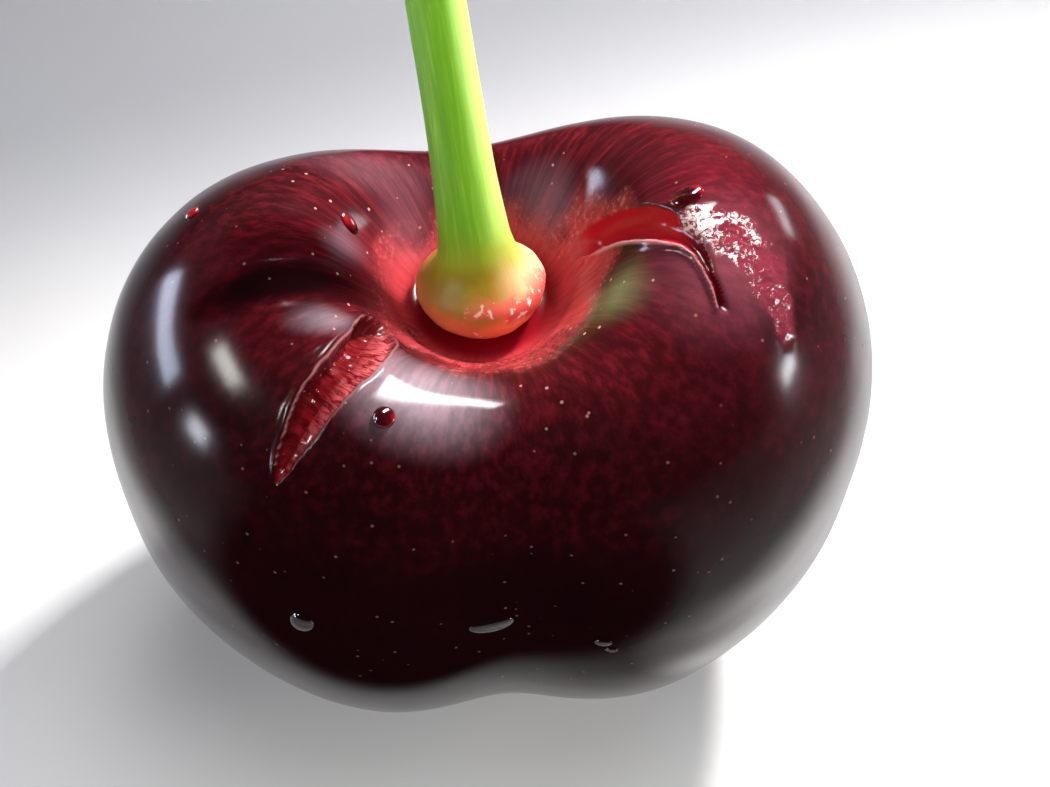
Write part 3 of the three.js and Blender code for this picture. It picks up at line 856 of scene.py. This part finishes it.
def make_table():
    bm = bmesh.new()
    bmesh.ops.create_grid(bm, x_segments=2, y_segments=2, size=TABLE_HALF_SIZE)
    mesh = mesh_from(bm, "table_top")
    mesh.materials.append(table_finish())
    return link_object("table_top", mesh)


table = make_table()


# The light: one small near window high behind on the right, whose shadow spreads, under a dim
# ceiling and soft fills. These light only matt colour. The other lamps show only in the gloss, as
# the highlight on the crest and the streaks on the flanks.
def direction(azimuth, elevation):
    """Azimuth 0 is behind the fruit and 90 to its right, in degrees."""
    a, e = math.radians(azimuth), math.radians(elevation)
    return Vector((math.sin(a) * math.cos(e), math.cos(a) * math.cos(e), math.sin(e)))


def soft_lamp(name, aim, distance, size, glow, tint, shows_in, spread=180, turn=0):
    """A rectangle of light aimed at the fruit, a distance in metres away; its size is two angles."""
    lamp = bpy.data.lights.new(name, "AREA")
    lamp.shape = "RECTANGLE"
    lamp.size = 2 * distance * math.tan(math.radians(size[0] / 2))
    lamp.size_y = 2 * distance * math.tan(math.radians(size[1] / 2))
    lamp.energy = glow * math.pi * lamp.size * lamp.size_y
    lamp.color = tint
    lamp.spread = math.radians(spread)
    holder = bpy.data.objects.new(name, lamp)
    bpy.context.scene.collection.objects.link(holder)
    way = direction(*aim)
    holder.location = FRUIT_MIDDLE + distance * way
    facing = (-way).to_track_quat("-Z", "Y").to_matrix()
    holder.rotation_euler = (facing @ Matrix.Rotation(math.radians(turn), 3, "Z")).to_euler()
    holder.visible_camera = False
    holder.visible_diffuse = shows_in == "matt"
    holder.visible_glossy = shows_in == "gloss"


soft_lamp("window_high", (38, 46), 0.09, (9, 9), 84, (1.0, 0.985, 0.96), "matt", spread=100)
soft_lamp("ceiling", (60, 80), 0.35, (34, 34), 0.3, (0.97, 0.98, 1.0), "matt", spread=44)
soft_lamp("fill_front", (-145, 38), 0.4, (50, 36), 2.5, (0.98, 0.98, 1.0), "matt")
soft_lamp("bounce_right", (98, 22), 0.35, (22, 22), 8, (1.0, 1.0, 0.96), "matt")
soft_lamp("window_sheen", (14, 54), 0.35, (12, 42), 118, (1.0, 0.99, 0.98), "gloss", turn=-25)
soft_lamp("window_left", (-76, 4), 0.3, (34, 10), 46, (0.7, 0.78, 1.0), "gloss")
soft_lamp("window_left_far", (-109, 2), 0.3, (7, 6), 70, (0.84, 0.87, 1.0), "gloss")
soft_lamp("card_left", (-104, 34), 0.3, (12, 7), 70, (0.97, 1.0, 0.94), "gloss")
soft_lamp("window_right", (100, 3), 0.3, (8, 6), 85, (0.93, 0.95, 1.0), "gloss")
soft_lamp("card_right", (54, 3), 0.3, (14, 6), 26, (0.95, 0.97, 1.0), "gloss")

ROOM_DIM, ROOM_PALE = (0.03, 0.03, 0.032, 1), (0.3, 0.31, 0.34, 1)


def room_light():
    """A pale room, brighter low behind the fruit and dim above and in front."""
    world = bpy.data.worlds.new("room")
    bpy.context.scene.world = world
    world.use_nodes = True
    tree = world.node_tree
    way = add(tree, "TexCoord").outputs["Generated"]
    _, back, up = add(tree, "SeparateXYZ", [(0, way)]).outputs
    pale = combine(tree, stretch(tree, back, -0.5, 0.5), stretch(tree, up, 0.1, 0.8, 1, 0.15))
    glow = mix_colours(tree, pale, ROOM_DIM, ROOM_PALE)
    tree.links.new(glow, tree.nodes["Background"].inputs["Color"])
    tree.nodes["Background"].inputs["Strength"].default_value = 1.0


room_light()
bpy.context.scene.view_settings.view_transform = "Standard"
